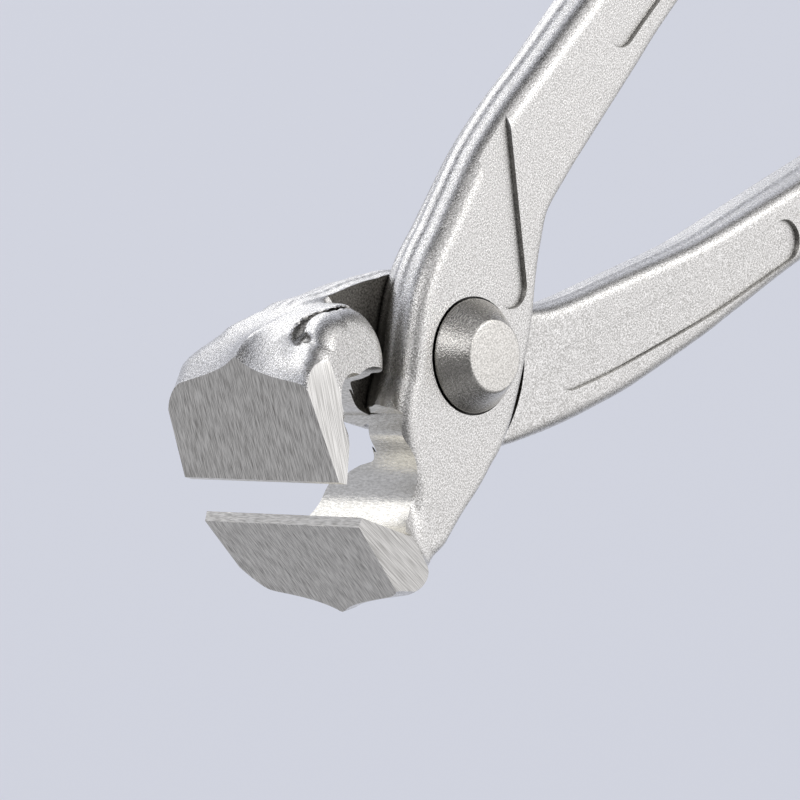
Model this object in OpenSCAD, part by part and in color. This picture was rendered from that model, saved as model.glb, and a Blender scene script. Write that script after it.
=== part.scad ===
// Concreters nippers: two forged halves that cross at one rivet, 220 mm long.
// Millimetres. The origin lies on the rivet's axis, halfway between the two plates.
// +Z points out of the front plate, -X to the cutting edges and +X to the lever ends.

/* [Jaws] */
// Width of the jaws along the cutting edges
jaw_w = 22; // [18:0.5:26]
// Distance from the rivet's axis to the cutting edges
edge_reach = 26.7; // [25.5:0.1:30]
// Angle between the two jaws as they lie at rest, in degrees
opening = 8.1; // [2:0.1:20]
// Distance that stays between the cutting edges when they are closed
edge_gap = 0.06; // [0.02:0.01:0.3]
// Height of the large ground face outside each cutting edge
facet_h = 10.6; // [8:0.1:12]
// Lean of the large ground face towards the rivet, in degrees
facet_lean = 9; // [4:0.5:14]
// Width of the narrow ground bevel at the cutting edge
bevel_w = 1; // [0.5:0.1:1.6]
// Angle of that bevel from the line of the jaws, in degrees
bevel_angle = 40; // [30:1:50]
// Angle of the inner face behind the cutting edge, in degrees
inner_angle = 51; // [46:1:56]
// Lean of the ground side of each jaw, in degrees
side_lean = 8; // [4:0.5:10]
// Height of the forging ridge on the back of each jaw
ridge_h = 2; // [1:0.1:3]
// Distance from the rivet's axis to the free end of each jaw block
block_reach = 13.2; // [12.8:0.1:15]
// How far the free end of a jaw block lies under the jaw's full width
block_drop = 2; // [1:0.1:3]

/* [Throat] */
// Radius of the milled throat behind the cutting edges
throat_r = 6.4; // [5.5:0.1:6.8]
// Distance from the rivet's axis to the throat's centre
throat_reach = 19; // [18.6:0.1:19.6]
// How far each half's throat centre lies off the middle line
throat_offset = 1.8; // [1:0.1:2.2]

/* [Joint] */
// Thickness of each plate at the rivet
plate_t = 5.3; // [4.5:0.1:6.5]
// Radius of the turned seat where the two plates run on each other
lap_r = 12.6; // [12.2:0.1:13.2]
// Depth of that seat under the forged face
lap_depth = 0.25; // [0.1:0.05:0.8]
// Running gap between faces that slide on each other
slide_gap = 0.06; // [0.04:0.01:0.1]
// Diameter of the rivet's shank
rivet_d = 8; // [6:0.5:9]
// Radial clearance of the shank in the half that turns on it
bore_clearance = 0.05; // [0.02:0.01:0.09]
// Diameter of the rivet's heads at their base
rivet_head_d = 11.7; // [10.5:0.1:13]
// Diameter of the flat on the rivet's heads
rivet_flat_d = 7.3; // [5.5:0.1:9]
// Height of the rivet's heads
rivet_head_h = 3; // [2:0.1:4]

/* [Levers] */
// Distance from the rivet's axis to the lever ends
lever_reach = 192.5; // [170:0.5:230]
// Length of the last, nearly straight run of each lever
lever_run = 22; // [16:1:30]
// Width of the levers at their ends
lever_end_w = 9; // [8:0.1:11]
// Thickness of the levers
lever_t = 7.2; // [6.5:0.1:9]
// Thickness of the levers at their ends
lever_end_t = 6; // [5:0.1:7]
// Distance from the middle line to the front lever's end, with the jaws closed
front_end_y = 17; // [15:0.5:22]
// Distance from the middle line to the rear lever's end, with the jaws closed
rear_end_y = 16; // [14:0.5:22]

/* [Pockets] */
// Width of the sunk pockets
pocket_w = 4.7; // [3:0.1:5]
// Depth of the sunk pockets
pocket_depth = 0.5; // [0.2:0.1:0.8]
// Width of the rim that stays beside the pointed pocket
pocket_rim = 0.4; // [0.2:0.1:1.5]
// Length of the pointed pocket before the rim cuts it off
point_pocket_l = 19; // [12:0.5:20]
// Distance from the rivet's axis to the front lever's slot pocket
front_pocket_x = 38; // [34:1:50]
// Length of the front lever's slot pocket
front_pocket_l = 40; // [20:1:60]
// Distance from the rivet's axis to the rear lever's slot pocket
rear_pocket_x = 17; // [16:1:30]
// Length of the rear lever's slot pocket
rear_pocket_l = 38; // [20:1:60]
// How far the rear lever's slot pocket lies outside the lever's middle line
rear_pocket_shift = 0.8; // [0:0.1:1]

/* [Hidden] */
$fn = 64;
spare = 20;

half_w = jaw_w / 2;
rivet_r = rivet_d / 2;
half_gap = slide_gap / 2;
lever_under = lever_t - plate_t;
end_cut = (lever_t - lever_end_t) / 2;
end_r = lever_end_w / 2;

// The cutting edge, the foot of its bevel and the far end of the large ground face.
edge = [-edge_reach, -edge_gap / 2];
bevel_foot = edge - bevel_w * [cos(bevel_angle), sin(bevel_angle)];
facet_dir = [sin(facet_lean), -cos(facet_lean)];
facet_end = bevel_foot + facet_h * facet_dir;
ridge_end = bevel_foot + (facet_h + ridge_h) * facet_dir;
throat_at = [-throat_reach, -throat_offset];

// Where the inner face behind the cutting edge runs into the round throat.
inner_l = 6.4;
inner_end = edge + inner_l * [cos(inner_angle), -sin(inner_angle)];
throat_from = atan2(inner_end[1] - throat_at[1], inner_end[0] - throat_at[0]);
throat_to = 12;

// Stations of a half from the jaw to the lever's end: middle of the bar, then half its width.
// Past lever_from a station's first number is its share of the lever's long curve.
head_stations = [
    [-14.5, -10.4, 3.3], [-11.2, -8.3, 4.5], [-8.2, -5.7, 6.5], [-3.3, -2.2, 8.3], [2.6, 2.8, 8.8]];
front_stations = [
    [7.3, 6, 7.7], [10.6, 8.3, 6.8], [15.2, 10.9, 5.95], [21, 12.4, 5.7], [26.7, 13.4, 5.45],
    [36.2, 15.1, 5.15], [44, 16.3, 4.9]];
front_curve = [[0.13, 18.2, 4.7], [0.33, 20, 4.5], [0.56, 20.5, 4.4], [0.84, 19, 4.4]];
rear_stations = [
    [7, 5.4, 7.8], [10.6, 7.4, 6.9], [15.5, 9, 6.25], [20.8, 10.1, 6], [26.3, 10.9, 5.9],
    [37.2, 12.1, 5.2], [43, 12.5, 4.9]];
rear_curve = [[0.1, 13, 4.5], [0.29, 14.6, 4.4], [0.52, 16.2, 4.4], [0.84, 16.6, 4.4]];
lever_from = 44;
end_bend = 0.6;
function on_lever(p) = [
    lever_from + p[0] * (lever_reach - lever_run - lever_from), p[1], p[2]];
function end_stations(y) = [
    [lever_reach - lever_run, y + end_bend, end_r], [lever_reach - end_r, y, end_r]];
function stations(rear) = concat(
    head_stations,
    rear ? rear_stations : front_stations,
    [for (p = rear ? rear_curve : front_curve) on_lever(p)],
    end_stations(rear ? rear_end_y : front_end_y));

// A smooth curve through stations: each span is a cubic whose slopes follow its neighbours.
function span_point(a, b, c, d, u) = b + u / 2 * (
    (c - a) + u * ((2 * a - 5 * b + 4 * c - d) + u * (3 * (b - c) + d - a)));
span_steps = 4;
function smooth(p) = [
    for (i = [0 : len(p) - 2]) for (j = [0 : span_steps - 1])
        span_point(p[max(i - 1, 0)], p[i], p[i + 1], p[min(i + 2, len(p) - 1)], j / span_steps),
    p[len(p) - 1]];

function unit(v) = v / norm(v);
function heading(p, i) = unit(
    [for (k = [0, 1]) p[min(i + 1, len(p) - 1)][k] - p[max(i - 1, 0)][k]]);
function heading_angle(p, i) = atan2(heading(p, i)[1], heading(p, i)[0]);
// Points round an arc between two angles.
arc_steps = 14;
function arc(at, r, from, to) = [
    for (i = [0 : arc_steps])
        at + r * [cos(from + (to - from) * i / arc_steps), sin(from + (to - from) * i / arc_steps)]];
// The point beside station i, at its half width plus more, on side 1 (left) or -1 (right).
function beside(p, i, side, more) = [p[i][0], p[i][1]]
    + side * (p[i][2] + more) * [-heading(p, i)[1], heading(p, i)[0]];
function bar_outline(p, more) = concat(
    [for (i = [0 : len(p) - 1]) beside(p, i, -1, more)],
    [for (i = [len(p) - 1 : -1 : 0]) beside(p, i, 1, more)]);

// The forged bar of one half seen from the front, with its round lever end.
module bar_plan(rear, more = 0) {
    line = smooth(stations(rear));
    polygon(bar_outline(line, more));
    translate([line[len(line) - 1][0], line[len(line) - 1][1]])
        circle(r = end_r + more);
}

// The bar from the side: flat on the front, thicker below away from the rivet, and thinner at
// the lever's end.
thick_from = 24;
thick_to = 60;
under_line = [
    [-block_reach - 1, -lap_depth], [thick_from, -lap_depth], [thick_to, -lever_under],
    [lever_reach / 2, -lever_under], [lever_reach + 1, -lever_under + end_cut]];
front_line = [
    [lever_reach + 1, plate_t - end_cut], [lever_reach / 2, plate_t],
    [-block_reach - 1, plate_t]];

module bar(rear) {
    intersection() {
        translate([0, 0, -spare])
            linear_extrude(2 * spare)
                bar_plan(rear);
        rotate([90, 0, 0])
            translate([0, 0, -2 * spare])
                linear_extrude(4 * spare)
                    polygon(concat(under_line, front_line));
    }
}

// The jaw block seen from the front: blade, throat and back.
module block_plan() {
    polygon(concat(
        [edge, bevel_foot, ridge_end, ridge_end + [2.8, -0.8], ridge_end + [5.2, -1.1]],
        [[-16.8, -13.9], [-13, -13.2], [-10.5, -12.5], [-10.5, -8]],
        arc(throat_at, throat_r, throat_to, throat_from),
        [inner_end]));
}

// The jaw block seen from the side: full width at the blade, level with the plate on the front
// and ending round and free of the other half's plate on the rear.
module block_side() {
    blade = -edge_reach;
    free_z = -half_w + block_drop;
    polygon([
        [blade - 2, -half_w], [blade + 3.2, -half_w], [blade + 6, free_z - 1],
        [-block_reach - 3, free_z - 0.4], [-block_reach - 1.4, free_z + 0.6],
        [-block_reach - 0.4, free_z + 2], [-block_reach, free_z + 3.6], [-block_reach, -1.2],
        [-block_reach + 0.4, -lap_depth], [-11, -lap_depth], [-11, plate_t],
        [blade + 10.4, plate_t], [blade + 8.8, plate_t + 0.3], [blade + 7.2, plate_t + 1.7],
        [blade + 5.9, half_w - 1.8], [blade + 5.1, half_w - 0.7], [blade + 3.6, half_w],
        [blade - 2, half_w]]);
}

// The jaw block seen along the bar: round corners and a ridge along the back.
module block_end() {
    back = facet_end[1];
    polygon([
        [1, -half_w], [back + 5, -half_w], [back + 2.6, -half_w + 0.4], [back + 1, -half_w + 1.6],
        [back, -half_w + 4.6], [back - ridge_h * 0.4, -2.8], [back - ridge_h, 0],
        [back - ridge_h * 0.4, 2.8], [back, half_w - 4.6], [back + 1, half_w - 1.6],
        [back + 2.6, half_w - 0.4], [back + 5, half_w], [1, half_w]]);
}
block_end_turn = -17;

module block() {
    intersection() {
        translate([0, 0, -spare])
            linear_extrude(2 * spare)
                block_plan();
        rotate([90, 0, 0])
            translate([0, 0, -spare])
                linear_extrude(2 * spare)
                    block_side();
        translate([facet_end[0], 0, 0])
            rotate([0, 0, block_end_turn])
                rotate([90, 0, 90])
                    translate([0, 0, -spare])
                        linear_extrude(2 * spare)
                            block_end();
    }
}

// The ground side of the blade: it leans in from the cutting edge's corner.
module side_grind() {
    translate([-edge_reach - spare, 0, half_w])
        rotate([side_lean, 0, 0])
            translate([0, -spare, 0])
                cube([spare + 5, spare, spare]);
}

// The pointed pocket beside the rivet: a slot from its round end out to the plate's rim.
point_pocket_at = [8.6, 2.6];
point_pocket_turn = 63;
module point_pocket() {
    intersection() {
        translate([point_pocket_at[0], point_pocket_at[1], plate_t - pocket_depth])
            rotate([0, 0, point_pocket_turn]) {
                cylinder(d = pocket_w, h = 2 * pocket_depth);
                translate([0, -pocket_w / 2, 0])
                    cube([point_pocket_l, pocket_w, 2 * pocket_depth]);
            }
        linear_extrude(2 * plate_t)
            bar_plan(false, -pocket_rim);
    }
}

// A sunk slot with round ends that follows the lever between two of its stations.
module slot_plan(rear, from, length) {
    line = [for (p = smooth(stations(rear))) if (p[0] >= from && p[0] <= from + length)
        [p[0], p[1] + (rear ? rear_pocket_shift : 0), pocket_w / 2]];
    last = len(line) - 1;
    start = heading_angle(line, 0);
    end = heading_angle(line, last);
    polygon(concat(
        [for (i = [1 : last - 1]) beside(line, i, -1, 0)],
        arc([line[last][0], line[last][1]], pocket_w / 2, end - 90, end + 90),
        [for (i = [last - 1 : -1 : 1]) beside(line, i, 1, 0)],
        arc([line[0][0], line[0][1]], pocket_w / 2, start + 90, start + 270)));
}

module front_slot() {
    translate([0, 0, plate_t - pocket_depth])
        linear_extrude(2 * pocket_depth)
            slot_plan(false, front_pocket_x, front_pocket_l);
}

// The rear lever's slot is sunk evenly into the face that slopes up beside the front plate.
module rear_slot() {
    depth = [0, pocket_depth];
    intersection() {
        translate([0, 0, -spare])
            linear_extrude(2 * spare)
                slot_plan(true, rear_pocket_x, rear_pocket_l);
        rotate([90, 0, 0])
            translate([0, 0, -2 * spare])
                linear_extrude(4 * spare)
                    polygon(concat(
                        [for (p = under_line) p + depth],
                        [[lever_reach, -spare], [-block_reach, -spare]]));
    }
}

// One forged half with the jaws closed. The front half is drawn as it lies; the rear half is
// the same forging turned over, with its own lever and pockets.
module half(rear, bore_r) {
    difference() {
        union() {
            bar(rear);
            block();
        }
        translate([0, 0, -spare])
            cylinder(r = lap_r, h = spare + half_gap);
        translate([0, 0, -spare])
            cylinder(r = bore_r, h = 2 * spare);
        translate([throat_at[0], throat_at[1], -spare])
            cylinder(r = throat_r, h = 2 * spare);
        if (!rear) {
            side_grind();
            point_pocket();
            front_slot();
        } else {
            mirror([0, 0, 1])
                side_grind();
            rear_slot();
        }
    }
}

module front_half() {
    color("gainsboro")
        rotate([0, 0, opening / 2])
            half(false, rivet_r + bore_clearance);
}

module rear_half() {
    color("silver")
        rotate([0, 0, -opening / 2])
            rotate([180, 0, 0])
                half(true, rivet_r);
}

// The rivet: its shank fills the rear half, and its front head clears the half that turns.
module rivet() {
    color("lightgray") {
        translate([0, 0, -plate_t])
            cylinder(r = rivet_r, h = 2 * plate_t + slide_gap);
        translate([0, 0, plate_t + half_gap])
            cylinder(d1 = rivet_head_d, d2 = rivet_flat_d, h = rivet_head_h);
        translate([0, 0, -plate_t - rivet_head_h])
            cylinder(d1 = rivet_flat_d, d2 = rivet_head_d, h = rivet_head_h);
    }
}

front_half();
rear_half();
rivet();
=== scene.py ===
import math

import bpy
import numpy as np
from mathutils import Matrix, Vector


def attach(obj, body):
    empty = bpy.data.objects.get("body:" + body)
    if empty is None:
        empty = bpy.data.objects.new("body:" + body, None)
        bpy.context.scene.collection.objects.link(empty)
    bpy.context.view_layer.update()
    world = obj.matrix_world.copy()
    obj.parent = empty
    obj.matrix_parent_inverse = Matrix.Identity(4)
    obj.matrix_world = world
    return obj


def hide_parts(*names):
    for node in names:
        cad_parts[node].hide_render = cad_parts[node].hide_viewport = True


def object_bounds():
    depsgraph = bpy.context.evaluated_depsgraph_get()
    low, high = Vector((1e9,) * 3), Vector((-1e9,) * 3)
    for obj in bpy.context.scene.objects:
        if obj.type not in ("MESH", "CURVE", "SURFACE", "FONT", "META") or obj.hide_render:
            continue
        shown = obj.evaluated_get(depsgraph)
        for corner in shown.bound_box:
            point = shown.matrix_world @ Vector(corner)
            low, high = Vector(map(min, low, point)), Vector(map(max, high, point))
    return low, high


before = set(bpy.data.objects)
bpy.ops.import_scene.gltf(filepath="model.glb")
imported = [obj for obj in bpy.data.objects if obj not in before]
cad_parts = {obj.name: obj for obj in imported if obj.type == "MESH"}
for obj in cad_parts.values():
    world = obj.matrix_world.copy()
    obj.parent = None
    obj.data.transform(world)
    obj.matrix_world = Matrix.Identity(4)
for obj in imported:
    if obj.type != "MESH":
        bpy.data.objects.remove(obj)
cad_low, cad_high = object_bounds()

# Lengths are millimetres and angles are degrees. A half is drawn as the front half lies with
# the jaws closed: rivet on the origin, cutting edge at -X, lever to +X, plate above z = 0 and
# the jaw block's free side below it. The rear half is the same head turned over.
MM = 0.001
far = 40.0

# Jaws
jaw_w = 22.0
edge_reach = 26.7
edge_gap = 0.06
opening = 8.1
facet_lean = 9.0
facet_cut_l = 30
bevel_w = 1.0
bevel_angle = 40.0
inner_angle = 51.0
inner_l = 6.4
side_lean = 8.0
side_ground_l = 6.4
block_flat = 19.0
past_middle = 6.0

# Throat, and the relief that is milled under the lobe
throat_r = 5.4
throat_reach = 18.0
throat_offset = 2.2
relief_at = (-20, -5.8)
relief_r = 3.9
relief_taper = -2.6
relief_outer = -12
relief_inner = -6

# Joint: plates, lap, seat and rivet
plate_t = 5.3
lap_r = 12.6
lap_depth = 0.25
seat_r = lap_r + 0.35
seat_depth = 0.3
seat_short = 0.9
slide_gap = 0.06
rivet_d = 8.0
bore_clearance = 0.05
rivet_head_d = 11.7
rivet_flat_d = 7.3
rivet_head_h = 3.0
rivet_rim = 0.25
rivet_under_rim = 0.15
rivet_rim_step = 0.05
under_rounds = (0.25, 0.4, 0)
upper_rounds = (0.1, 0.2, 0.25)
head_recess_r = rivet_head_d / 2 + 0.16
head_recess_depth = 0.35
head_recess_taper = 2

# Levers
lever_reach = 192.5
lever_from = 44.0
lever_run = 22.0
lever_end_w = 9.0
lever_t = 7.2
lever_end_t = 6.0
thicker_from = 20
thicker_to = 62
front_end_y = 17.0
rear_end_y = 16.0
end_bend = 0.6

# Pockets sunk into the levers
pocket_w = 4.7
pocket_depth = 0.5
wall_lean = 0.1
point_pocket_at = np.array([8.6, 2.6])
point_pocket_turn = 63.0
point_pocket_l = 24.0
front_slot_from = 38.0
front_slot_l = 40.0
rear_slot_from = 17.0
rear_slot_l = 36.5
rear_slot_shift = 0.8

# The forging's draft, parting line and flash land, then its rounds and fillets
draft = 0.1
parting_plate = 1.9
parting_lever = 1.6
land_w = 0.9
land_step = 0.14
land_fade = 0.3
front_round = 0.8
outer_round_more = 0.9
under_round = 0.4
lever_round_more = 0.9
block_round = 3.4
neck_round_less = 2.2
lobe_round = 2.0
lobe_end_round = 1
block_fillet = 0.9
lobe_fillet = 0.5
groove_fillet = 0.2

# The grid that a raw forging is worked out on: cells are longer along the lever.
grid_from = -31
head_end = 12
grid_y = (-17, 28)
grid_z = (-12.0, 12.2)
head_step = 0.3
lever_step = 0.8
slabs = 24

half_w = jaw_w / 2
half_gap = slide_gap / 2
pocket_half = pocket_w / 2


def compass(angle):
    """Unit vector in the plan at an angle from +X."""
    return np.array([math.cos(math.radians(angle)), math.sin(math.radians(angle))])


edge = np.array([-edge_reach, -edge_gap / 2])
bevel_foot = edge - bevel_w * compass(bevel_angle)
facet_dir = compass(facet_lean - 90)
inner_end = edge + inner_l * compass(-inner_angle)
throat_at = np.array([-throat_reach, -throat_offset])

# Stations of a half: middle of the bar in X and Y, then half its width.
head_stations = [
    (-14.5, -10.4, 3.3), (-11.2, -8.3, 4.5), (-8.2, -5.7, 6.5),
    (-6.05, -3.7, 7.8), (-3.3, -2.2, 8.3), (2.6, 2.8, 8.8)]
front_stations = [
    (7.3, 6, 7.7), (10.6, 8.1, 7.0), (15.2, 10.6, 6.25), (21, 12.1, 6.0), (26.7, 13.1, 5.75),
    (36.2, 14.8, 5.45), (44, 16.1, 5.1)]
front_curve = [(0.13, 18.2, 4.7), (0.33, 20, 4.5), (0.56, 20.5, 4.4), (0.84, 19, 4.4)]
rear_stations = [
    (7, 5.6, 8.0), (10.6, 7.6, 7.1), (15.5, 9.3, 6.55), (20.8, 10.4, 6.3), (26.3, 11.2, 6.15),
    (37.2, 12.3, 5.4), (43, 12.6, 5.0)]
rear_curve = [(0.1, 13, 4.5), (0.29, 14.6, 4.4), (0.52, 16.2, 4.4), (0.84, 16.6, 4.4)]

# The raw jaw block from the front: its back halfway out to the side, and where it ends inside.
back_line = [
    (-29.5, -9.2), (-25.8, -11.15), (-24, -12.3), (-22.2, -13.1), (-19.7, -13.7),
    (-16.8, -13.65), (-14, -13.1), (-11.8, -12.4)]
inner_line = [(-10.8, -9), (-12.3, -5), (-12.5, -2.4), (-18, -1.6), (-24.4, 2), (-29.5, 2)]
# The block from the side: the free side is below, and the side level with the plate is above.
block_side = [
    (-29.5, -11.4), (-25.4, -11.2), (-23.6, -10.2), (-22.2, -8), (-20.5, -6.3), (-14.8, -6.1),
    (-13.9, -5.4), (-13.3, -4.5), (-12.9, -2.9), (-12.6, -0.8), (-12.2, 0.5), (-11, 1), (-11, 4.4),
    (-15.5, 4.7), (-17.9, 5.6), (-19.5, 7), (-20.8, 9.2), (-21.6, 10.4), (-23, 11.4),
    (-29.5, 11.4)]
# The lobe on the free side, beside the other half's plate: middle in the plan and radius.
lobe_line = [(-22.6, -8.6, 3.8), (-21, -9.1, 3.9), (-18.5, -9.4, 4.6), (-16.4, -8.9, 4.6)]
# The lobe's face is a slanting plane: its lean along Y, and its fall along X behind a crest.
lobe_lean = 0.14
lobe_fall = 0.28
lobe_crest = 23.6
lobe_crest_turn = 0.15
# The crease above the lobe, from beside the ground side up and round to the neck, and its radius.
crease = [
    (-22.1, -13.1, -6, 0.35), (-21.4, -13.2, -5.5, 0.6), (-20.4, -13.3, -5, 0.7),
    (-18.9, -13.6, -4.8, 0.65), (-17.6, -13.6, -4.9, 0.55), (-15.6, -13.1, -5.4, 0.45),
    (-13.4, -12.2, -5.5, 0.4), (-11.8, -11.6, -5.2, 0.45), (-10.2, -11, -4.4, 0.45)]
# The shallow dimple that leaves the crease towards the top of the ground side.
dimple = [(-21, -13.1, -5.9, 0.5), (-21.5, -13.2, -7.2, 0.4), (-21.8, -12.9, -8.6, 0.2)]
# The roof on the block's back: its slope, half its width, its ridge's place and width, and
# where along X it fades out.
roof_slope = 0.2
roof_half = 5.5
ridge_at = -0.5
ridge_w = 1.5
roof_from = -26.5
roof_to = -17.5
# How much nearer to the rivet the side outline's neck lies at the block's back.
neck_back = 0.8


def stations(rear):
    """All stations of one half; a curve row's first number is its share of the lever."""
    run = lever_reach - lever_run - lever_from
    curve = [(lever_from + s * run, y, w) for s, y, w in (rear_curve if rear else front_curve)]
    end_y = rear_end_y if rear else front_end_y
    ends = [(lever_reach - lever_run, end_y + end_bend, lever_end_w / 2),
            (lever_reach - lever_end_w / 2, end_y, lever_end_w / 2)]
    return np.array(head_stations + (rear_stations if rear else front_stations) + curve + ends)


def smooth_line(rows, step):
    """Rows joined by cubics whose slope at a row is half the way between its neighbours."""
    rows = np.asarray(rows, float)
    before = np.vstack([rows[:1], rows[:-2]])
    after = np.vstack([rows[2:], rows[-1:]])
    out = []
    for a, b, c, d in zip(before, rows[:-1], rows[1:], after):
        n = max(2, int(np.ceil(np.linalg.norm(c[:2] - b[:2]) / step)))
        u = np.linspace(0, 1, n, endpoint=False)[:, None]
        out.append(b + u / 2 * ((c - a) + u * ((2 * a - 5 * b + 4 * c - d)
                                               + u * (3 * (b - c) + d - a))))
    out.append(rows[-1:])
    return np.vstack(out)


# A forging's lever, plate, block and lobe run into each other with rounds and creases that no
# one surface on two parameters gives, so each half is the zero level of a distance field.
# The fields are below zero in the steel and above zero outside, and take arrays that broadcast.
def discs_field(x, y, line):
    """Distance to discs whose middles and radii follow a line: the least of distance less radius.
    Discs too far along X to be the nearest are left out."""
    out = np.full(np.broadcast(x, y).shape, 1e9)
    reach = 1.6 * line[:, 2].max()
    for px, py, r in line[(line[:, 0] > x.min() - reach) & (line[:, 0] < x.max() + reach)]:
        np.minimum(out, np.hypot(x - px, y - py) - r, out=out)
    return out


def outline_field(x, y, corners):
    """Signed distance to a closed outline: the least distance to a side, minus inside it."""
    corners = np.asarray(corners, float)
    least = np.full(np.broadcast(x, y).shape, 1e9)
    inside = np.zeros(least.shape, bool)
    for a, b in zip(corners, np.roll(corners, -1, axis=0)):
        e = b - a
        t = np.clip(((x - a[0]) * e[0] + (y - a[1]) * e[1]) / (e @ e), 0, 1)
        np.minimum(least, np.hypot(x - a[0] - t * e[0], y - a[1] - t * e[1]), out=least)
        if e[1] != 0:
            crosses = (a[1] > y) != (b[1] > y)
            inside ^= crosses & (x < a[0] + (y - a[1]) * e[0] / e[1])
    return np.where(inside, -least, least)


def thread_field(x, y, z, points):
    """Distance to a round thread: the least over its straight runs of the distance to the run
    less the radius, which goes evenly from one end of the run to the other."""
    least = np.full(np.broadcast(x, y, z).shape, 1e9)
    for a, b in zip(np.array(points[:-1]), np.array(points[1:])):
        e = (b - a)[:3]
        t = np.clip(((x - a[0]) * e[0] + (y - a[1]) * e[1] + (z - a[2]) * e[2]) / (e @ e), 0, 1)
        gap = (x - a[0] - t * e[0]) ** 2 + (y - a[1] - t * e[1]) ** 2 + (z - a[2] - t * e[2]) ** 2
        np.minimum(least, np.sqrt(gap) - a[3] - t * (b[3] - a[3]), out=least)
    return least


def round_meet(a, b, r):
    """What two fields share, with a round of radius r along the corner where they meet."""
    return (np.minimum(np.maximum(a + r, b + r), 0)
            + np.hypot(np.maximum(a + r, 0), np.maximum(b + r, 0)) - r)


def soft_join(a, b, k):
    """Both fields together, with a fillet about k wide in the corner between them."""
    h = np.maximum(k - np.abs(a - b), 0) / k
    return np.minimum(a, b) - h * h * k / 4


def ramp(t, low, high):
    """0 up to low, 1 past high, and a smooth step between."""
    t = np.clip((t - low) / (high - low), 0, 1)
    return t * t * (3 - 2 * t)


def under_depth(x):
    """How far a half's other face lies under the lap plane: more where the lever is thicker."""
    return lap_depth + (lever_t - plate_t - lap_depth) * ramp(x, thicker_from, thicker_to)


def bar_field(x, y, z, line):
    """The forged bar: discs along its line, drafted both ways from the parting line, between its
    two faces. The trimmed flash leaves a narrow land there. The front's edge is rounder on the
    outer side, and the other face's edge is rounder along the lever than at the lap."""
    thin = (lever_t - lever_end_t) / 2 * ramp(x, lever_reach / 2, lever_reach)
    front = z - (plate_t - thin)
    under = -(under_depth(x) - thin) - z
    along = ramp(x, 14, 40)
    parting = parting_plate * (1 - along) + parting_lever * along
    off = np.abs(z - parting)
    side = (discs_field(x, y, line) + draft * np.maximum(off - land_w / 2, 0)
            + land_step * ramp(off, land_w / 2, land_w / 2 + land_fade))
    outer = ramp(y - np.interp(x, line[:, 0], line[:, 1]), -2, 2)
    bar = round_meet(side, front, front_round + outer_round_more * outer)
    return round_meet(bar, under, under_round + lever_round_more * ramp(x, -2, 14))


def roof(x, z):
    """How far the back stands out past its line: a low roof with a sharp forged ridge, which
    fades from the facet to the neck."""
    rise = roof_slope * (roof_half - np.abs(z)) + np.exp(-np.abs(z - ridge_at) / ridge_w)
    return rise * (1 - ramp(x, roof_from, roof_to))


def block_field(x, y, z):
    """The jaw block: its plan and its side outline meet in a round corner, which is tighter at
    the neck. The lobe, discs along a line that end in a slanting face, is joined on with a
    small fillet. The crease and the dimple are threads that are taken away."""
    plan = outline_field(x, y + roof(x, z), back_line + inner_line)
    neck = neck_back * ramp(-y, 10, 13) * ramp(x, -20, -14)
    side = outline_field(x - neck, z, block_side)
    block = round_meet(plan, side, block_round - neck_round_less * ramp(x, -22.5, -18))
    past_crest = x + lobe_crest_turn * y + lobe_crest
    face = -half_w - lobe_lean * y + lobe_fall * past_crest
    lobe = discs_field(x, y, np.array(lobe_line))
    lobe = round_meet(round_meet(lobe, face - z, lobe_round), z, lobe_end_round)
    block = soft_join(block, lobe, lobe_fillet)
    groove = np.minimum(thread_field(x, y, z, crease), thread_field(x, y, z, dimple))
    return -soft_join(-block, groove, groove_fillet)


def half_field(rear):
    """The field of one raw forging: bar and jaw block, grown together with a fillet."""
    line = smooth_line(stations(rear), 0.4)

    def field(x, y, z):
        bar = bar_field(x, y, z, line)
        return soft_join(bar, block_field(x, y, z), block_fillet) if x.min() < -8 else bar
    return field


def skin(field, xs, ys, zs):
    """The zero level of a field as quads. A grid cell that it crosses holds one vertex, at the
    mean of the crossings on the cell's edges, and each crossed edge has a quad round it. Two
    steps down the field's slope then put every vertex on the level itself."""
    f = np.concatenate([field(slab[:, None, None], ys[None, :, None], zs[None, None, :])
                        for slab in np.array_split(xs, slabs)])
    axes = [xs, ys, zs]
    shape = tuple(n - 1 for n in f.shape)
    size = int(np.prod(shape))
    count = np.zeros(size)
    total = np.zeros((3, size))
    rings = []
    for axis in range(3):
        near = np.moveaxis(f, axis, 0)[:-1]
        next_ = np.moveaxis(f, axis, 0)[1:]
        hit = (near < 0) != (next_ < 0)
        index = np.argwhere(hit)
        a, b = near[hit], next_[hit]
        share = a / (a - b)
        others = [k for k in range(3) if k != axis]
        grid = np.empty_like(index)
        grid[:, axis] = index[:, 0]
        grid[:, others[0]] = index[:, 1]
        grid[:, others[1]] = index[:, 2]
        point = np.stack([axes[k][grid[:, k]] for k in range(3)])
        point[axis] += share * np.diff(axes[axis])[grid[:, axis]]
        b_axis, c_axis = (axis + 1) % 3, (axis + 2) % 3
        ring = []
        for back_b, back_c in ((0, 0), (1, 0), (1, 1), (0, 1)):
            cell = grid.copy()
            cell[:, b_axis] -= back_b
            cell[:, c_axis] -= back_c
            flat = np.ravel_multi_index(cell.T, shape)
            count += np.bincount(flat, minlength=size)
            for k in range(3):
                total[k] += np.bincount(flat, weights=point[k], minlength=size)
            ring.append(flat)
        ring = np.stack(ring, axis=1)
        rings.append(np.where((a < 0)[:, None], ring, ring[:, ::-1]))
    used = np.flatnonzero(count)
    number = np.full(size, -1)
    number[used] = np.arange(len(used))
    points = (total[:, used] / count[used]).T
    for part in np.array_split(np.argsort(points[:, 0]), slabs):
        for _ in range(2):
            points[part] -= slope_step(field, points[part])
    return points, number[np.vstack(rings)]


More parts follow.
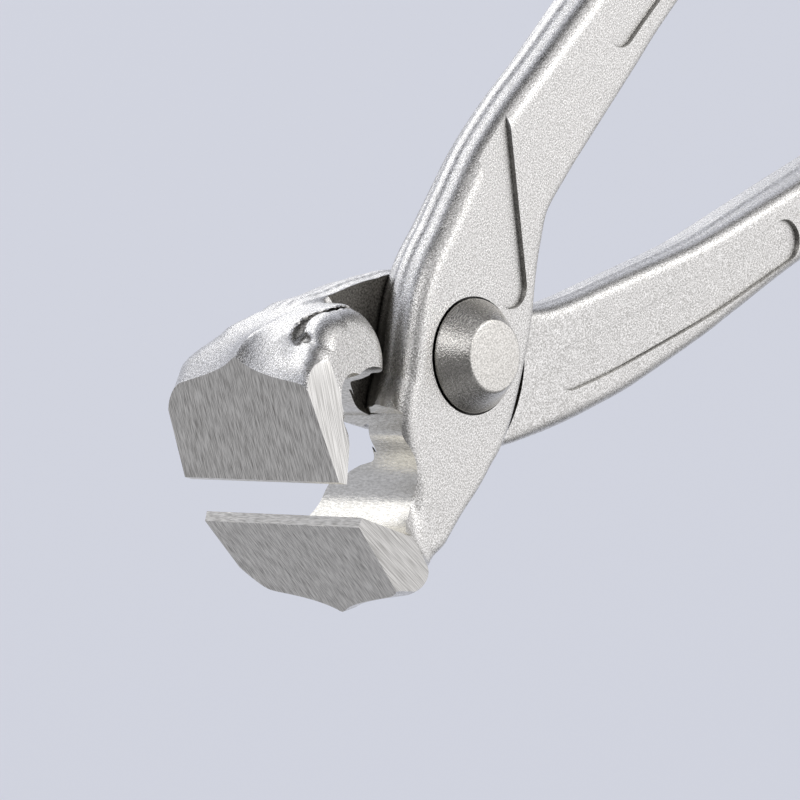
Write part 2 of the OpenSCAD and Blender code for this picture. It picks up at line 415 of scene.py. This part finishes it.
def slope_step(field, p, h=0.02, longest=0.3):
    """The step from each point to the field's zero level: value over slope, along the slope.
    The slope is measured over h, and a step is held to about the longest."""
    value = field(p[:, 0], p[:, 1], p[:, 2])
    slope = np.empty_like(p)
    for k in range(3):
        q = p.copy()
        q[:, k] += h
        slope[:, k] = (field(q[:, 0], q[:, 1], q[:, 2]) - value) / h
    square = np.maximum((slope ** 2).sum(1), 0.3)
    return np.clip(value / square, -longest, longest)[:, None] * slope


def placed(points, rear):
    """Points of a closed half, put where the half lies at rest, in metres."""
    points = np.asarray(points, float)
    turn = math.radians(-opening / 2 if rear else opening / 2)
    if rear:
        points = points * [1, -1, -1]
    c, s = math.cos(turn), math.sin(turn)
    x = c * points[:, 0] - s * points[:, 1]
    y = s * points[:, 0] + c * points[:, 1]
    return np.stack([x, y, points[:, 2]], axis=1) * MM


def facing_out(points, faces):
    """The faces of a closed shape, turned to point outwards: its volume must not be negative."""
    volume = 0.0
    for f in faces:
        a = points[f[0]]
        for b, c in zip(f[1:-1], f[2:]):
            volume += np.dot(a, np.cross(points[b], points[c]))
    return faces if volume > 0 else [list(f)[::-1] for f in faces]


def mesh_object(name, points, faces):
    """A mesh object from points in metres and a list or array of faces."""
    mesh = bpy.data.meshes.new(name)
    faces = faces.tolist() if isinstance(faces, np.ndarray) else faces
    mesh.from_pydata(np.asarray(points).tolist(), [], faces)
    mesh.validate()
    obj = bpy.data.objects.new(name, mesh)
    bpy.context.scene.collection.objects.link(obj)
    return obj


def sleeve(lower, upper):
    """Two closed rings of as many points, joined by a wall of quads and closed at both ends."""
    n = len(lower)
    i = np.arange(n)
    j = (i + 1) % n
    walls = np.stack([i, j, j + n, i + n], axis=1).tolist()
    return np.vstack([lower, upper]), [list(range(n))[::-1], list(range(n, 2 * n))] + walls


def prism(corners, low, high):
    """A closed outline in the plan, counter-clockwise, carried straight up from low to high."""
    corners = np.asarray(corners, float)
    n = len(corners)
    return sleeve(np.column_stack([corners, np.full(n, low)]),
                  np.column_stack([corners, np.full(n, high)]))


def turned(profile, steps=128):
    """A profile of radius and height turned round Z, from its lower end on the axis to its upper
    end on the axis."""
    profile = np.asarray(profile, float)
    a = np.arange(steps) * 2 * math.pi / steps
    inner = profile[1:-1]
    rings = np.stack([np.outer(inner[:, 0], np.cos(a)), np.outer(inner[:, 0], np.sin(a)),
                      np.repeat(inner[:, 1:], steps, axis=1)], axis=-1).reshape(-1, 3)
    points = np.vstack([rings, [0, 0, profile[0, 1]], [0, 0, profile[-1, 1]]])
    k = np.arange(steps)
    k2 = (k + 1) % steps
    rows = np.arange(len(inner) - 1)[:, None] * steps
    quads = np.stack([rows + k, rows + k2, rows + steps + k2, rows + steps + k], axis=-1)
    bottom = len(rings)
    top_row = bottom - steps
    ends = [np.stack([k2, k, np.full(steps, bottom)], axis=1),
            np.stack([top_row + k, top_row + k2, np.full(steps, bottom + 1)], axis=1)]
    return points, quads.reshape(-1, 4).tolist() + ends[0].tolist() + ends[1].tolist()


def filleted(corners, radii, steps=6):
    """A bent line whose corners are rounded: each corner gives way to a curve between the two
    points one radius away from it. With u from 0 to 1, (1 - u) squared and u squared weigh the
    two points, and 2 u (1 - u) weighs the corner."""
    corners = np.asarray(corners, float)
    out = [corners[0]]
    for before, at, after, r in zip(corners[:-2], corners[1:-1], corners[2:], radii):
        if r == 0:
            out.append(at)
            continue
        low = at + (before - at) * r / np.linalg.norm(before - at)
        high = at + (after - at) * r / np.linalg.norm(after - at)
        for u in np.linspace(0, 1, steps):
            out.append((1 - u) ** 2 * low + 2 * u * (1 - u) * at + u * u * high)
    return np.array(out + [corners[-1]])


# The cutters: each gives its points, its faces and the finish that each face leaves.
def disc_cutter(at, r, low, high, finish, taper=0.0, steps=160):
    """A cylinder that stands on the plan at a point, wider above by its taper."""
    points, faces = turned([(0, low), (r, low), (r + taper, high), (0, high)], steps)
    return points + [at[0], at[1], 0], faces, [finish] * len(faces)


def rim_cutter():
    """What the throat's cutter takes off the plate's rim as it runs out past the throat."""
    path = filleted([(-12.6, -2.2), (-12.6, -0.6), (-11.15, 0.95)], [1.0])
    corners = np.vstack([path, [(-11.6, 4), (-16, 4), (-16, -2.2)]])
    points, faces = prism(corners, -far, far)
    return points, faces, ["milled throat"] * len(faces)


def neck_cutter():
    """The free side of the neck, turned down to the lap plane from the end of the roof on."""
    corners = [(-11.2, -17), (0, -17), (0, -9), (-4, -8), (-10.4, -9.9), (-10.9, -11.5),
               (-11.2, -13.2)]
    # Its faces take the dark turned seat finish, a painted shade for the shade beside the other
    # plate.
    points, faces = prism(corners, -far, 0.0)
    return points, faces, ["turned seat"] * len(faces)


def blade_cutter():
    """All that lies outside the ground blade: in front of the facet and over the inner face."""
    below = facet_dir * facet_cut_l
    inside = [throat_at[0], far]
    corners = [bevel_foot + below, bevel_foot, edge, inner_end, throat_at, inside,
               [-2 * far, far], [-2 * far, (bevel_foot + below)[1]]]
    points, faces = prism(corners[::-1], -far, far)
    sides = ["ground facet", "ground bevel", "milled throat", "milled throat", "milled throat",
             "ground facet", "ground facet", "ground facet"]
    # The outline runs backwards, so its side k lies between corners k and k + 1 from the end.
    return points, faces, ["ground facet"] * 2 + sides[-2::-1] + sides[-1:]


def side_cutter(high_x, lean):
    """A thick slab over the jaw's side, back to high_x. Its underside falls away by lean degrees
    towards -Y."""
    t = math.tan(math.radians(lean))
    points = []
    for x in (-edge_reach - far, high_x):
        for y in (past_middle, -far):
            points += [(x, y, half_w + y * t), (x, y, half_w + 3 * far)]
    faces = [[0, 1, 3, 2], [4, 6, 7, 5], [0, 4, 5, 1], [2, 3, 7, 6], [0, 2, 6, 4], [1, 5, 7, 3]]
    return np.array(points, float), faces, ["ground side"] * len(faces)


def flipped(shape):
    """A shape mirrored in the lap plane."""
    points, faces, finish = shape
    return np.asarray(points) * [1, 1, -1], faces, finish


def beside(line, side, more):
    """Points beside a line, at its own half width plus more, on side 1 (left) or -1 (right)."""
    ahead = np.gradient(line[:, :2], axis=0)
    ahead /= np.linalg.norm(ahead, axis=1)[:, None]
    across = np.stack([-ahead[:, 1], ahead[:, 0]], axis=1)
    return line[:, :2] + side * (line[:, 2:] + more) * across


def round_end(line, at, more, steps=16):
    """The half circle that ends a slot, from its left side at the start or its right at the end."""
    ahead = line[1, :2] - line[0, :2] if at == 0 else line[-1, :2] - line[-2, :2]
    turn = math.atan2(ahead[1], ahead[0]) + (math.pi / 2 if at == 0 else -math.pi / 2)
    a = turn + np.linspace(0, math.pi, steps + 2)[1:-1]
    return line[at, :2] + (line[at, 2] + more) * np.stack([np.cos(a), np.sin(a)], axis=1)


def pocket(line, floor, up):
    """A sunk pocket along a line of X, Y, half width: closed outlines at the floor and over the
    face, the upper one wider because the wall leans out. The floor follows a height function."""
    rings = []
    for more, lift in ((-wall_lean / 2, 0), (wall_lean * 1.5, 2 * pocket_depth)):
        plan = np.vstack([beside(line, -1, more), round_end(line, -1, more),
                          beside(line, 1, more)[::-1], round_end(line, 0, more)])
        rings.append(np.column_stack([plan, floor(plan[:, 0]) + up * lift]))
    points, faces = sleeve(*rings)
    return points, faces, ["forged zinc"] * len(faces)


def slot_line(rear):
    """The slot pocket's middle line along its lever."""
    line = smooth_line(stations(rear), 1.0)
    low, length, shift = ((rear_slot_from, rear_slot_l, rear_slot_shift) if rear
                          else (front_slot_from, front_slot_l, 0))
    line = line[(line[:, 0] >= low) & (line[:, 0] <= low + length)]
    return line * [1, 1, 0] + [0, shift, pocket_half]


def point_line():
    """The straight line of the pocket that runs out over the plate's rim beside the rivet."""
    s = np.linspace(0, point_pocket_l, 3)[:, None]
    line = point_pocket_at + s * compass(point_pocket_turn)
    return np.column_stack([line, np.full(3, pocket_half)])


def front_floor(x):
    """The floor of a pocket that is sunk into the front."""
    return np.full(np.shape(x), plate_t - pocket_depth)


def rear_floor(x):
    """The floor of the pocket that is sunk into the rear lever's other face."""
    return pocket_depth - under_depth(x)


def apply_modifiers(obj):
    """Puts the mesh as its modifiers leave it into the object, and takes them off."""
    graph = bpy.context.evaluated_depsgraph_get()
    mesh = bpy.data.meshes.new_from_object(obj.evaluated_get(graph))
    obj.modifiers.clear()
    obj.data = mesh


def cut(obj, cutters, rear):
    """Cuts each closed shape out of the object, one after the other. The cut faces take the
    finish that the shape gives them."""
    for points, faces, finish in cutters:
        tool = mesh_object("cutter", placed(points, rear), facing_out(points, faces))
        for mat in obj.data.materials:
            tool.data.materials.append(mat)
        names = [mat.name for mat in obj.data.materials]
        marks = [names.index(finish_name(f, rear)) for f in finish]
        tool.data.polygons.foreach_set("material_index", marks)
        mod = obj.modifiers.new("cut", "BOOLEAN")
        mod.operation = "DIFFERENCE"
        mod.solver = "MANIFOLD"
        mod.object = tool
        apply_modifiers(obj)
        bpy.data.objects.remove(tool)
    return obj


def make_half(name, rear):
    """One forging with all that is cut into it."""
    head_x = np.arange(grid_from, head_end, head_step)
    lever_x = np.arange(head_end, lever_reach + 2, lever_step)
    ys = np.arange(*grid_y, head_step)
    zs = np.arange(*grid_z, head_step)
    points, quads = skin(half_field(rear), np.concatenate([head_x, lever_x]), ys, zs)
    obj = mesh_object(name, placed(points, rear), quads)
    for finish in finishes:
        obj.data.materials.append(finishes[finish](rear))
    bore_r = rivet_d / 2 + (0 if rear else bore_clearance)
    leaf = side_cutter(-edge_reach + side_ground_l, side_lean)
    flat = side_cutter(-block_flat, 0)
    recess_z = plate_t - head_recess_depth
    cutters = [
        blade_cutter(),
        disc_cutter(throat_at, throat_r, -far, far, "milled throat"),
        disc_cutter(relief_at, relief_r, relief_outer, relief_inner, "milled throat", relief_taper),
        rim_cutter(),
        neck_cutter(),
        flipped(leaf) if rear else leaf,
        flat if rear else flipped(flat),
        disc_cutter((0, 0), seat_r, -seat_depth, seat_short * half_gap, "turned seat"),
        disc_cutter((0, 0), lap_r, -far, half_gap, "turned seat"),
        disc_cutter((0, 0), bore_r, -far, far, "milled throat"),
        disc_cutter((0, 0), head_recess_r, recess_z, far, "forged zinc", head_recess_taper),
    ]
    if rear:
        cutters.append(pocket(slot_line(rear), rear_floor, -1))
    else:
        cutters.append(pocket(slot_line(rear), front_floor, 1))
        cutters.append(pocket(point_line(), front_floor, 1))
    return cut(obj, cutters, rear)


def make_rivet():
    """The rivet: a turned profile of two cone heads with a small flat each, and the shank."""
    flat_r, base_r, shank_r = rivet_flat_d / 2, rivet_head_d / 2, rivet_d / 2
    sunk = plate_t - head_recess_depth
    low = -plate_t - rivet_head_h
    high = plate_t + half_gap
    lower = filleted([(0, low), (flat_r, low), (base_r, -plate_t - rivet_under_rim),
                      (base_r, -sunk), (shank_r, -sunk)], under_rounds)
    upper = filleted([(shank_r, high), (base_r - rivet_rim_step, high), (base_r, high + rivet_rim),
                      (flat_r, high + rivet_head_h), (0, high + rivet_head_h)], upper_rounds)
    points, faces = turned(np.vstack([lower, upper]))
    return mesh_object("rivet_turned", points * MM, facing_out(points, faces))


# Materials
def linear(code):
    """An sRGB hex colour as the linear colour that the shaders take."""
    parts = [int(code[i:i + 2], 16) / 255 for i in (1, 3, 5)]
    return [p / 12.92 if p <= 0.04045 else ((p + 0.055) / 1.055) ** 2.4 for p in parts] + [1]


def add(tree, kind, links=None, **settings):
    """A node with its settings, and with its inputs set or linked from other nodes' sockets."""
    node = tree.nodes.new(kind)
    for key, value in settings.items():
        setattr(node, key, value)
    for key, value in (links or {}).items():
        if isinstance(value, bpy.types.NodeSocket):
            tree.links.new(value, node.inputs[key])
        else:
            node.inputs[key].default_value = value
    return node


def blank(name):
    """An empty material: its node tree and its output."""
    mat = bpy.data.materials.new(name)
    mat.use_nodes = True
    mat.node_tree.nodes.clear()
    return mat, mat.node_tree


def grain_noise(tree, size, detail=2.0, rough=0.6):
    """Noise in Object coordinates whose coarsest grains are size millimetres across."""
    where = add(tree, "ShaderNodeTexCoord").outputs["Object"]
    return add(tree, "ShaderNodeTexNoise", {"Vector": where, "Scale": 1 / (size * MM),
                                            "Detail": detail, "Roughness": rough}).outputs["Fac"]


def line_noise(tree, frame_axes, sizes, detail=2.0):
    """Noise drawn out along three directions: each grain is sizes millimetres long on them."""
    turn = Matrix(frame_axes).transposed().to_euler()
    where = add(tree, "ShaderNodeTexCoord").outputs["Object"]
    laid = add(tree, "ShaderNodeMapping", {
        "Vector": where, "Rotation": turn, "Scale": [v * MM for v in sizes]},
        vector_type="TEXTURE").outputs["Vector"]
    return add(tree, "ShaderNodeTexNoise", {"Vector": laid, "Scale": 1.0, "Detail": detail,
                                            "Roughness": 0.55}).outputs["Fac"]


def spread(tree, value, low, high, to_low, to_high):
    """A value from low to high carried to another range."""
    return add(tree, "ShaderNodeMapRange", {
        "Value": value, "From Min": low, "From Max": high, "To Min": to_low,
        "To Max": to_high}).outputs["Result"]


def blend(tree, share, low, high):
    """Two colours, each a hex code or a socket, mixed by a share."""
    node = add(tree, "ShaderNodeMix", {"Factor": share}, data_type="RGBA")
    for place, colour in ((6, low), (7, high)):
        if isinstance(colour, str):
            node.inputs[place].default_value = linear(colour)
        else:
            tree.links.new(colour, node.inputs[place])
    return node.outputs[2]


def painted_shade_openness(tree, reach):
    """1 in the open and 0 deep in a gap or corner, judged within reach millimetres. The finishes
    use it to paint shade into their colour.
    """
    share = add(tree, "ShaderNodeAmbientOcclusion", {"Distance": reach * MM}, samples=8)
    return spread(tree, share.outputs["AO"], 0.2, 0.75, 0, 1)


def metal(name, build):
    """A metal whose build function gives, from its node tree, the colour, the roughness, and the
    pattern of its relief with that relief's depth in millimetres."""
    if name in bpy.data.materials:
        return bpy.data.materials[name]
    mat, tree = blank(name)
    colour, rough, height, depth = build(tree)
    bump = add(tree, "ShaderNodeBump", {"Height": height, "Distance": depth * MM})
    shader = add(tree, "ShaderNodeBsdfPrincipled", {
        "Base Color": colour, "Metallic": 1.0, "Roughness": rough,
        "Normal": bump.outputs["Normal"]})
    add(tree, "ShaderNodeOutputMaterial", {"Surface": shader.outputs["BSDF"]})
    return mat


def half_frame(rear, along, normal):
    """Three directions as the half lies at rest: along a line on a face, across it, and normal
    to the face."""
    rows = placed([along, np.cross(normal, along), normal, (0, 0, 0)], rear)
    rows = (rows[:3] - rows[3]) / MM
    if rear:
        rows[1] = np.cross(rows[2], rows[0])
    return [Vector(row).normalized() for row in rows]


def finish_name(finish, rear):
    """The material's name: ground and turned finishes lie the other way on the rear half."""
    return finish if finish == "forged zinc" else finish + (" rear" if rear else " front")


def forged_zinc(rear):
    """Blasted forging under zinc: the blasting leaves pits a sixth of a millimetre wide.
    Painted shade darkens the colour deep in gaps and corners."""
    def build(tree):
        pits = grain_noise(tree, 0.16, 2.0, 0.65)
        patches = grain_noise(tree, 1.6, 2.0, 0.5)
        speckled = blend(tree, spread(tree, pits, 0.36, 0.64, 0, 1), "#b3b1ac", "#fdfbf7")
        # Painted shade: the colour turns dark deep in gaps and corners, within 1.1 and within 7
        # millimetres.
        painted_corner_shade = blend(tree, painted_shade_openness(tree, 1.1), "#454340", speckled)
        colour = blend(tree, painted_shade_openness(tree, 7.0), "#2b2a28", painted_corner_shade)
        return colour, spread(tree, patches, 0.3, 0.7, 0.22, 0.3), pits, 0.045
    return metal(finish_name("forged zinc", rear), build)


def ground_facet(rear):
    """The large ground faces: belt marks run from the cutting edge to the back, up to three
    millimetres long and a tenth of a millimetre apart, in dull steel."""
    def build(tree):
        axes = half_frame(rear, (facet_dir[0], facet_dir[1], 0), (-facet_dir[1], facet_dir[0], 0))
        marks = line_noise(tree, axes, (3.0, 0.11, 1.0))
        nicks = line_noise(tree, axes, (1.4, 0.08, 1.0), 1.0)
        dark = spread(tree, nicks, 0.32, 0.6, 0, 1)
        colour = blend(tree, dark, "#8c8880", "#d3cfc5")
        return colour, 0.3, marks, 0.05
    return metal(finish_name("ground facet", rear), build)


def ground_bevel(rear):
    """The narrow bevel: fine marks along the cutting edge."""
    def build(tree):
        along = compass(bevel_angle)
        axes = half_frame(rear, (0, 0, 1), (-along[1], along[0], 0))
        marks = line_noise(tree, axes, (1.0, 0.14, 1.0))
        colour = blend(tree, spread(tree, marks, 0.3, 0.6, 0, 1), "#bcb8ae", "#f0ece2")
        return colour, 0.3, marks, 0.05
    return metal(finish_name("ground bevel", rear), build)


def ground_side(rear):
    """The ground sides: coarser wheel marks that run nearly along the leaf-shaped face."""
    def build(tree):
        turn = math.radians(-70)
        fall = math.tan(math.radians(side_lean))
        rise = -fall * math.sin(turn)
        along = np.array([math.cos(turn), math.sin(turn), rise if rear else -rise])
        normal = np.array([0, -fall, -1 if rear else 1])
        axes = half_frame(rear, along / np.linalg.norm(along), normal / np.linalg.norm(normal))
        marks = line_noise(tree, axes, (5.0, 0.16, 1.0))
        scores = line_noise(tree, axes, (4.0, 0.1, 1.0), 1.0)
        colour = blend(tree, spread(tree, scores, 0.3, 0.6, 0, 1), "#b4b2ad", "#e8e6e1")
        return colour, 0.24, marks, 0.03
    return metal(finish_name("ground side", rear), build)


def milled_throat(rear):
    """The milled throat and bore: an even satin with faint feed lines along the cutter's axis,
    darkened by painted shade deep in gaps and corners.
    """
    def build(tree):
        axes = half_frame(rear, (0, 0, 1), (1, 0, 0))
        feed = line_noise(tree, axes, (0.5, 0.16, 0.16))
        steel = blend(tree, spread(tree, feed, 0.35, 0.65, 0, 1), "#c4c1b9", "#e2dfd7")
        # Painted shade: the colour turns dark deep in gaps and corners, within 5 millimetres.
        return blend(tree, painted_shade_openness(tree, 5.0), "#4a4844", steel), 0.25, feed, 0.02
    return metal(finish_name("milled throat", rear), build)


def turned_seat(rear):
    """The turned seat where the plates run on each other: steel painted dark, a painted shade for
    the shade between the plates, with a faint random mottle.
    """
    def build(tree):
        seat_mottle = grain_noise(tree, 0.22, 3.0, 0.65)
        # Painted shade: the seat's whole colour is dark for the shade between the plates.
        colour = blend(tree, spread(tree, seat_mottle, 0.35, 0.65, 0, 1), "#3f3d3a", "#77746e")
        return colour, 0.34, seat_mottle, 0.03
    return metal(finish_name("turned seat", rear), build)


def rivet_zinc():
    """The pressed rivet head under zinc: grained as the forgings are, and a little paler."""
    def build(tree):
        pits = grain_noise(tree, 0.18, 2.0, 0.6)
        speckled = blend(tree, spread(tree, pits, 0.36, 0.64, 0, 1), "#c9c6bf", "#f5f2eb")
        return speckled, 0.26, pits, 0.05
    return metal("rivet zinc", build)


finishes = {
    "forged zinc": forged_zinc, "ground facet": ground_facet, "ground bevel": ground_bevel,
    "ground side": ground_side, "milled throat": milled_throat, "turned seat": turned_seat}
sharp_angle = 32

half_a = make_half("front_forging", False)
half_b = make_half("rear_forging", True)
rivet = make_rivet()
rivet.data.materials.append(rivet_zinc())
pieces = [(half_a, "front", "front_half", "zinc_plated_steel"),
          (half_b, "rear", "rear_half", "zinc_plated_steel"),
          (rivet, "rear", "rivet", "rivet_steel")]
for obj, body, node, slot in pieces:
    obj.data.shade_smooth()
    obj.data.set_sharp_from_angle(angle=math.radians(sharp_angle))
    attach(obj, body)
    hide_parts(node)
    obj.data.calc_loop_triangles()
    print(obj.name, len(obj.data.vertices), "vertices", len(obj.data.loop_triangles), "triangles")


# Stage: the floor lies well under the tool, and keeps a part of its own tone when it is seen.
floor_drop = 250.0
floor_half = 3000.0
floor_own_share = 0.6

# The sky's lights, each with its direction, the angles it is full within and gone past, and its
# strength. The dark one takes that share of the sky's own light away.
key_glow = ((0.62, 0.12, 0.78), 28, 60, 0.63)
fill_glow = ((-0.39, 0.80, 0.44), 7, 20, 1.9)
side_glow = ((0.84, -0.54, 0.0), 14, 34, 0.65)
dark_glow = ((-0.61, 0.38, 0.70), 35, 70, 0.6)
sky_low = 0.15
sky_high = 0.5
sky_strength = 0.4
least_strength = 0.03

# The lamps, each with its direction from the rivet, its distance and width in metres, and watts.
lamps = {
    "key": ((0.62, 0.12, 0.78), 1.0, 0.16, 0.8),
    "low_card": ((0.12, 0.6, -0.79), 0.34, 0.24, 0.27),
    "under_card": ((0.52, 0.31, -0.78), 0.34, 0.22, 0.18)}

# Camera: where it stands round the rivet, its lens, and where the picture shows the rivet.
camera_azimuth = 147.87
camera_elevation = 44.16
camera_roll = 0.45
camera_distance = 476.5
lens = 210.3
sensor_w = 36
pixels = 800
focal = lens / sensor_w * pixels
origin_px = (436.2, 355.6)


def make_floor():
    """A pale matt floor. Where the camera, metal or glass sees it, a share of it shines in its
    own plain tone."""
    z = cad_low.z - floor_drop * MM
    h = floor_half * MM
    floor = mesh_object("floor", [(-h, -h, z), (h, -h, z), (h, h, z), (-h, h, z)], [[0, 1, 2, 3]])
    mat, tree = blank("pale_floor")
    lit = add(tree, "ShaderNodeBsdfPrincipled", {
        "Base Color": linear("#e8ebf7"), "Roughness": 0.9, "Specular IOR Level": 0.0})
    plain = add(tree, "ShaderNodeEmission", {"Color": linear("#dde0ea"), "Strength": 1.0})
    ray = add(tree, "ShaderNodeLightPath")
    seen = ray.outputs["Is Camera Ray"]
    for other in ("Is Glossy Ray", "Is Transmission Ray"):
        seen = add(tree, "ShaderNodeMath", {0: seen, 1: ray.outputs[other]},
                   operation="MAXIMUM").outputs[0]
    share = add(tree, "ShaderNodeMath", {0: seen, 1: floor_own_share},
                operation="MULTIPLY").outputs[0]
    mixed = add(tree, "ShaderNodeMixShader", {0: share, 1: lit.outputs["BSDF"],
                                              2: plain.outputs["Emission"]})
    add(tree, "ShaderNodeOutputMaterial", {"Surface": mixed.outputs["Shader"]})
    floor.data.materials.append(mat)


def make_lamp(name, toward, distance, size, power):
    """A square soft lamp that looks at the rivet, and that the camera doesn't see."""
    data = bpy.data.lights.new(name, "AREA")
    data.shape = "SQUARE"
    data.size = size
    data.energy = power
    obj = bpy.data.objects.new(name, data)
    obj.location = Vector(toward).normalized() * distance
    obj.rotation_euler = Vector(toward).to_track_quat("Z", "Y").to_euler()
    obj.visible_camera = False
    bpy.context.scene.collection.objects.link(obj)


def make_camera():
    """Looks at the rivet from its azimuth and elevation, with the picture's upright lying level,
    then turns a little so that the origin falls on its place in the picture."""
    a, e, t = (math.radians(v) for v in (camera_azimuth, camera_elevation, camera_roll))
    back = Vector((math.cos(e) * math.cos(a), math.cos(e) * math.sin(a), math.sin(e)))
    up0 = Vector((math.sin(a), -math.cos(a), 0))
    right0 = up0.cross(back)
    right = right0 * math.cos(t) + up0 * math.sin(t)
    up = up0 * math.cos(t) - right0 * math.sin(t)
    across, down = ((pixels / 2 - px) / focal for px in origin_px)
    ahead = -back + right * across - up * down
    ahead.normalize()
    right = (right - ahead * right.dot(ahead)).normalized()
    up = right.cross(ahead)
    data = bpy.data.cameras.new("camera")
    data.lens = lens
    data.sensor_width = sensor_w
    data.clip_end = 20
    cam = bpy.data.objects.new("camera", data)
    turn = Matrix((right, up, -ahead)).transposed()
    cam.matrix_world = Matrix.Translation(back * camera_distance * MM) @ turn.to_4x4()
    bpy.context.scene.collection.objects.link(cam)
    bpy.context.scene.camera = cam


def smooth_rise(tree, value, low, high, top):
    """0 up to low, top past high, and a smooth step between."""
    return add(tree, "ShaderNodeMapRange", {
        "Value": value, "From Min": low, "From Max": high, "To Min": 0.0, "To Max": top},
        interpolation_type="SMOOTHSTEP").outputs["Result"]


def glow(tree, toward, inner, outer, strength):
    """A round soft light in the sky: its strength within inner degrees of a direction, 0 past
    outer degrees."""
    where = add(tree, "ShaderNodeTexCoord").outputs["Generated"]
    facing = add(tree, "ShaderNodeVectorMath", {0: where, 1: Vector(toward).normalized()},
                 operation="DOT_PRODUCT").outputs["Value"]
    return smooth_rise(tree, facing, math.cos(math.radians(outer)), math.cos(math.radians(inner)),
                       strength)


def make_world():
    """A dim studio whose light comes from above and fades towards the horizon and on the dark
    side. It has one large soft light high up, a small one lower down, and a small one that lies
    on the horizon."""
    world = bpy.data.worlds.new("studio")
    bpy.context.scene.world = world
    world.use_nodes = True
    tree = world.node_tree
    tree.nodes.clear()

    def combine(kind, a, b):
        return add(tree, "ShaderNodeMath", {0: a, 1: b}, operation=kind).outputs[0]

    where = add(tree, "ShaderNodeTexCoord").outputs["Generated"]
    height = add(tree, "ShaderNodeSeparateXYZ", {"Vector": where}).outputs["Z"]
    high = smooth_rise(tree, height, sky_low, sky_high, 1.0)
    open_side = combine("SUBTRACT", 1.0, glow(tree, *dark_glow))
    base = combine("MULTIPLY", combine("MULTIPLY", high, open_side), sky_strength)
    large = combine("MULTIPLY", glow(tree, *key_glow), high)
    small = combine("ADD", glow(tree, *fill_glow), glow(tree, *side_glow))
    level = combine("ADD", combine("ADD", base, large), combine("ADD", small, least_strength))
    sky = add(tree, "ShaderNodeBackground", {"Color": linear("#fbfbff"), "Strength": level})
    add(tree, "ShaderNodeOutputWorld", {"Surface": sky.outputs["Background"]})


make_floor()
make_world()
for name, values in lamps.items():
    make_lamp(name, *values)
make_camera()
bpy.context.scene.view_settings.view_transform = "Standard"
